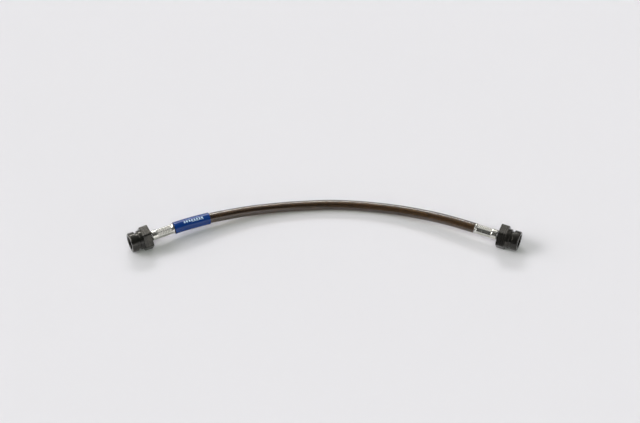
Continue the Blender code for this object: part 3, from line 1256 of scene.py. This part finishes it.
class HOSE_OT_fittings(Operator):
    """Female fittings turned from hexagon bar, with a tapped port"""

    bl_idname = "hose.fittings"
    bl_label = "Fittings"

    def execute(self, context):
        size = ends()
        flat_r = size.across_flats / 2
        blank_r = flat_r / math.cos(math.pi / HEX_SIDES) + BLANK_MARGIN
        front_run = (blank_r - HEX_FRONT_R) * math.tan(HEX_CHAMFER)
        back_run = (blank_r - HEX_BACK_R) * math.tan(HEX_CHAMFER)
        sink_r = size.thread_r + COUNTERSINK
        drill_tip = PORT_DEPTH + (size.drill_r - PASSAGE_R) / math.tan(DRILL_POINT)
        outline = [
            (0.0, sink_r),
            (0.0, size.flange_r - FLANGE_CHAMFER),
            (FLANGE_CHAMFER, size.flange_r),
            (FLANGE_END - EDGE_BREAK, size.flange_r),
            (FLANGE_END, size.flange_r - EDGE_BREAK),
            (FLANGE_END, size.groove_r),
            (STEP_START, size.groove_r),
            (STEP_START, size.step_r - EDGE_BREAK),
            (STEP_START + EDGE_BREAK, size.step_r),
            (HEX_START, size.step_r),
            (HEX_START, HEX_FRONT_R),
            (HEX_START + front_run, blank_r),
            (HEX_END - back_run, blank_r),
            (HEX_END, HEX_BACK_R),
            (HEX_END, NECK_R),
            (NECK_END, NECK_R),
            (NECK_END, TAIL_R),
            (TAIL_END, TAIL_R),
            (TAIL_END, PASSAGE_R),
            (drill_tip, PASSAGE_R),
            (PORT_DEPTH, size.drill_r),
            (sink_r - size.drill_r, size.drill_r),
        ]
        rows, marks = softened(outline, radius=0.00010)
        rows, marks = refined(rows, marks, HEX_START - TINY, HEX_END + TINY, step=0.00009)
        # The port's wall gets rows of its own, fine enough for the thread.
        first, last = np.where(np.abs(rows[:, 1] - size.drill_r) < 10 * TINY)[0][[0, -1]]
        wall_x = np.arange(rows[first, 0], rows[last, 0], -size.pitch / THREAD_ROWS)[1:]
        wall = np.stack([wall_x, np.full_like(wall_x, size.drill_r)], axis=1)
        marks = np.concatenate([marks[: first + 1], np.zeros(len(wall)), marks[last:]])
        rows = np.concatenate([rows[: first + 1], wall, rows[last:]])
        turn = corner_turns(
            HEX_SIDES, (0.0, 0.012, 0.03, 0.06, 0.12, 0.22, 0.36, 0.52, 0.68, 0.84, 1.0)
        )
        x, r = rows[:, 0][:, None], rows[:, 1][:, None]
        bar = flat_bar(turn, HEX_SIDES, flat_r, HEX_FILLET)[None, :]
        on_hex = (x > HEX_START - TINY) & (x < HEX_END + TINY) & (r > NECK_R + WELL_OFF)
        hexed = smooth_min(np.broadcast_to(r, (len(rows), len(turn))), bar, blend=0.00010)
        radius = np.where(on_hex, hexed, r)
        # The thread's vee goes once round for each pitch and runs out before the port's bottom.
        phase = (x / size.pitch - turn[None, :] / (2 * math.pi)) % 1.0
        vee = np.clip(THREAD_VEE - np.abs(phase - 0.5) / THREAD_FLANK, 0.0, 1.0)
        cut_in = np.clip((PORT_DEPTH - THREAD_STOP - x) / THREAD_FADE, 0.0, 1.0)
        thread = size.drill_r + (size.thread_r - size.drill_r) * vee * cut_in
        in_port = (r < size.flange_r - WELL_OFF) & (r > size.drill_r - TINY)
        threaded = in_port & (x < PORT_DEPTH)
        radius = np.where(threaded & (x > 10 * TINY), np.maximum(r, thread), radius)
        off = from_corner(turn, HEX_SIDES)[None, :] * flat_r
        corner = np.exp(-((off / HEX_WEAR) ** 2))
        chamfer = np.exp(-(((r - bar) / CHAMFER_WEAR) ** 2))
        crest = CREST_WEAR * threaded * (vee < 0.05)
        edges = np.where(on_hex, np.maximum(corner * (r > bar), chamfer), crest)
        for side in ("left", "right"):
            piece = turned_piece(
                "fitting_turned_" + side, rows, marks, turn, radius, side,
                black_plating(), edges,
            )
            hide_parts("fitting_" + side)
        return {"FINISHED"}


class HOSE_PT_pieces(Panel):
    """Sidebar list of the hose's pieces"""

    bl_label = "Clutch hose"
    bl_idname = "HOSE_PT_pieces"
    bl_space_type = "VIEW_3D"
    bl_region_type = "UI"
    bl_category = "Hose"

    def draw(self, context):
        layout = self.layout
        scene = context.scene
        for group_of_values in (
            scene.hose_sizes,
            scene.hose_ends,
            scene.hose_finishes,
            scene.hose_stage,
        ):
            box = layout.box()
            for key in group_of_values.__annotations__:
                box.prop(group_of_values, key)
        for operator in OPERATORS:
            layout.operator(operator.bl_idname)


GROUPS = (HoseSizes, EndSizes, Finishes, StageSetup)
OPERATORS = (
    HOSE_OT_stage,
    HOSE_OT_jacket,
    HOSE_OT_braid,
    HOSE_OT_liner,
    HOSE_OT_sleeve,
    HOSE_OT_ferrules,
    HOSE_OT_fittings,
)


def register():
    """Make the sizes, operators and panel known."""
    for cls in (*GROUPS, *OPERATORS, HOSE_PT_pieces):
        bpy.utils.register_class(cls)
    scene = bpy.types.Scene
    scene.hose_sizes = PointerProperty(type=HoseSizes)
    scene.hose_ends = PointerProperty(type=EndSizes)
    scene.hose_finishes = PointerProperty(type=Finishes)
    scene.hose_stage = PointerProperty(type=StageSetup)


def unregister():
    """Take them away again."""
    for key in ("hose_sizes", "hose_ends", "hose_finishes", "hose_stage"):
        delattr(bpy.types.Scene, key)
    for cls in (HOSE_PT_pieces, *reversed(OPERATORS), *reversed(GROUPS)):
        bpy.utils.unregister_class(cls)


def main():
    """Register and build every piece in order."""
    register()
    bpy.ops.hose.stage()
    bpy.ops.hose.jacket()
    bpy.ops.hose.braid()
    bpy.ops.hose.liner()
    bpy.ops.hose.sleeve()
    bpy.ops.hose.ferrules()
    bpy.ops.hose.fittings()


if __name__ == "__main__":
    main()
